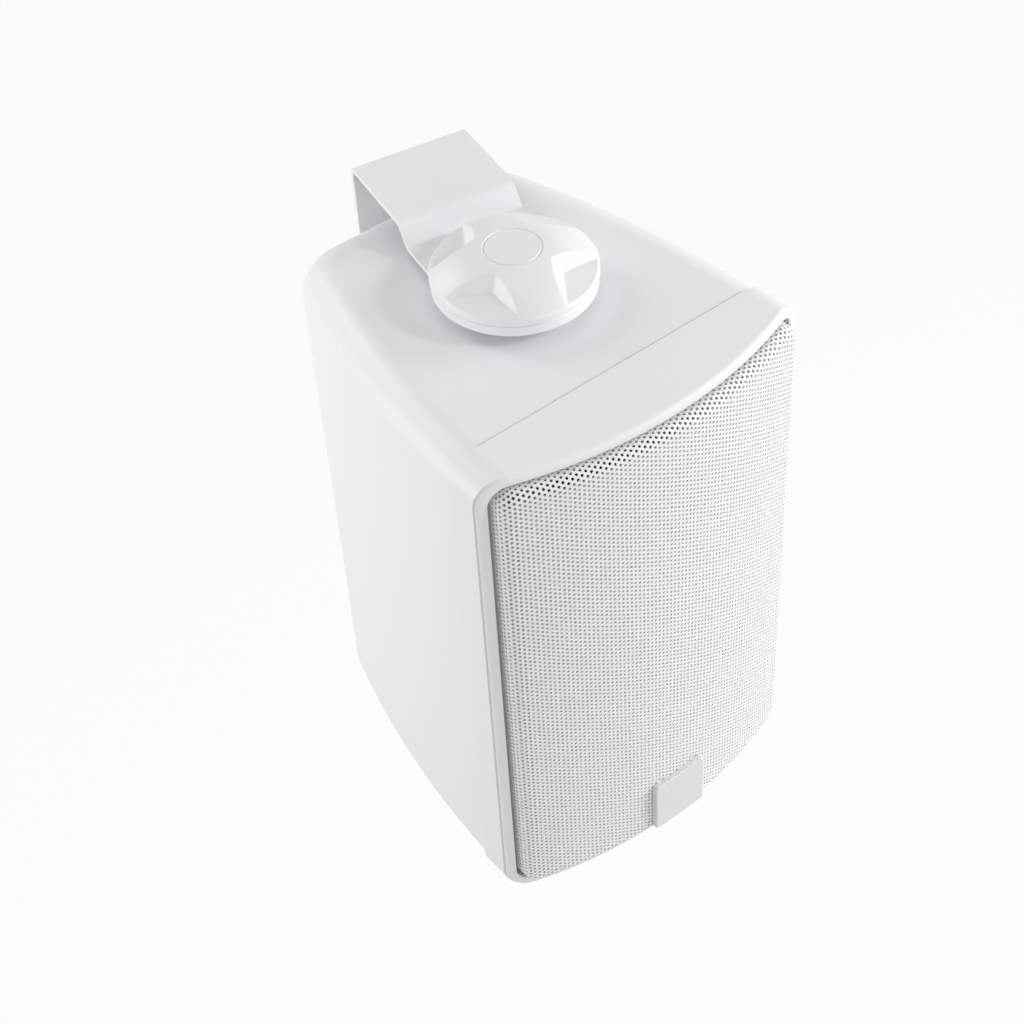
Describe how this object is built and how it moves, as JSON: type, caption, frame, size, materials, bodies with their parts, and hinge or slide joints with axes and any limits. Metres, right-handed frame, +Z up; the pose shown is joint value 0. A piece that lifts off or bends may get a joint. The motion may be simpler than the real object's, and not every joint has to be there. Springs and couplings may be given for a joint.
{
  "type": "compact speaker",
  "caption": "Compact two-way wall speaker with a curved perforated grille, swivelling in a folded wall bracket between screw clamp knobs.",
  "frame": {"origin": "centre of the bracket's wall face, at the speaker's mid height", "axes": "+Y into the wall, +Z up along the swivel axis, +X to the right seen from the front"},
  "size_m": [0.154, 0.1817, 0.2758],
  "materials": {
    "white_plastic": "fine satin moulding",
    "grille_paint": "satin powder coat",
    "grille_cloth": "pale acoustic cloth",
    "badge_plastic": "satin",
    "bracket_paint": "satin powder coat",
    "knob_plastic": "satin moulding",
    "black_plastic": "moulded",
    "red_plastic": "moulded",
    "steel": "zinc plated",
    "black_steel": "black coat",
    "brass": "plain",
    "rubber": "matt",
    "paper_cone": "pressed pulp",
    "ferrite": "sintered",
    "dome_cloth": "coated silk",
    "spider_cloth": "impregnated cloth",
    "copper_wire": "enamelled winding",
    "aluminium": "plain",
    "board": "lacquered board",
    "film_wrap": "wrapped film",
    "cement": "cement block",
    "wadding": "loose fibre"
  },
  "bodies": {
    "bracket": {"bracket": "bracket_paint"},
    "speaker": {"cabinet": "white_plastic", "front_baffle": "white_plastic", "baffle_screws": "black_steel", "grille": "grille_paint", "grille_cloth": "grille_cloth", "badge": "badge_plastic", "woofer_basket": "black_steel", "woofer_gasket": "rubber", "woofer_surround": "rubber", "woofer_spider": "spider_cloth", "woofer_top_plate": "steel", "woofer_magnet": "ferrite", "woofer_yoke": "steel", "woofer_screws": "black_steel", "tweeter_faceplate": "black_plastic", "tweeter_surround": "dome_cloth", "tweeter_top_plate": "steel", "tweeter_magnet": "ferrite", "tweeter_yoke": "steel", "tweeter_screws": "black_steel", "terminal_cup": "black_plastic", "terminal_screws": "black_steel", "terminal_pin": "steel", "terminal_contacts": "brass", "red_lever_spring": "steel", "black_lever_spring": "steel", "crossover_board": "board", "board_screws": "steel", "woofer_inductor": "copper_wire", "tweeter_inductor": "copper_wire", "crossover_capacitors": "film_wrap", "crossover_resistor": "cement", "wadding": "wadding", "top_insert": "brass", "top_washer": "rubber", "bottom_insert": "brass", "bottom_washer": "rubber"},
    "woofer_moving": {"woofer_cone": "paper_cone", "woofer_dust_cap": "paper_cone", "woofer_coil_former": "aluminium", "woofer_voice_coil": "copper_wire"},
    "tweeter_moving": {"tweeter_dome": "dome_cloth", "tweeter_voice_coil": "copper_wire"},
    "red_lever": {"red_lever": "red_plastic"},
    "black_lever": {"black_lever": "black_plastic"},
    "top_clamp_ring": {"top_ring": "knob_plastic"},
    "top_clamp_knob": {"top_knob": "knob_plastic", "top_stud": "steel"},
    "bottom_clamp_ring": {"bottom_ring": "knob_plastic"},
    "bottom_clamp_knob": {"bottom_knob": "knob_plastic", "bottom_stud": "steel"}
  },
  "joints": [
    {"name": "swivel", "type": "hinge", "parent": "bracket", "child": "speaker", "pos_m": [0, -0.0885, 0], "axis": [0, 0, 1], "range_deg": [-100.5, 79.5]},
    {"name": "woofer_stroke", "type": "slide", "parent": "speaker", "child": "woofer_moving", "axis": [0.1822, -0.9833, 0], "range_m": [-0.003, 0.003], "stiffness_N_per_m": 900, "deforming": ["woofer_surround", "woofer_spider"]},
    {"name": "tweeter_stroke", "type": "slide", "parent": "speaker", "child": "tweeter_moving", "axis": [0.1822, -0.9833, 0], "range_m": [-0.0003, 0.0003], "stiffness_N_per_m": 900, "deforming": ["tweeter_surround"]},
    {"name": "red_lever_press", "type": "hinge", "parent": "speaker", "child": "red_lever", "pos_m": [-0.02137, -0.02259, -0.0575], "axis": [0.9833, 0.1822, 0], "range_deg": [0, 14], "stiffness_Nm_per_rad": 0.05, "springref_deg": -5.73, "deforming": ["red_lever_spring"]},
    {"name": "black_lever_press", "type": "hinge", "parent": "speaker", "child": "black_lever", "pos_m": [-0.00367, -0.01931, -0.0575], "axis": [0.9833, 0.1822, 0], "range_deg": [0, 14], "stiffness_Nm_per_rad": 0.05, "springref_deg": -5.73, "deforming": ["black_lever_spring"]},
    {"name": "top_knob_lift", "type": "slide", "parent": "speaker", "child": "top_clamp_ring", "axis": [0, 0, 1], "range_m": [0, 0.00125]},
    {"name": "top_knob_turn", "type": "hinge", "parent": "top_clamp_ring", "child": "top_clamp_knob", "pos_m": [0, -0.0885, 0], "axis": [0, 0, 1], "range_deg": [0, 370]},
    {"name": "bottom_knob_lift", "type": "slide", "parent": "speaker", "child": "bottom_clamp_ring", "axis": [0, 0, -1], "range_m": [0, 0.00125]},
    {"name": "bottom_knob_turn", "type": "hinge", "parent": "bottom_clamp_ring", "child": "bottom_clamp_knob", "pos_m": [0, -0.0885, 0], "axis": [0, 0, -1], "range_deg": [0, 370]}
  ],
  "couplings": [
    {"joint": "top_knob_turn", "follows": "top_knob_lift", "rad_per_m": 5026.5},
    {"joint": "bottom_knob_turn", "follows": "bottom_knob_lift", "rad_per_m": 5026.5}
  ]
}
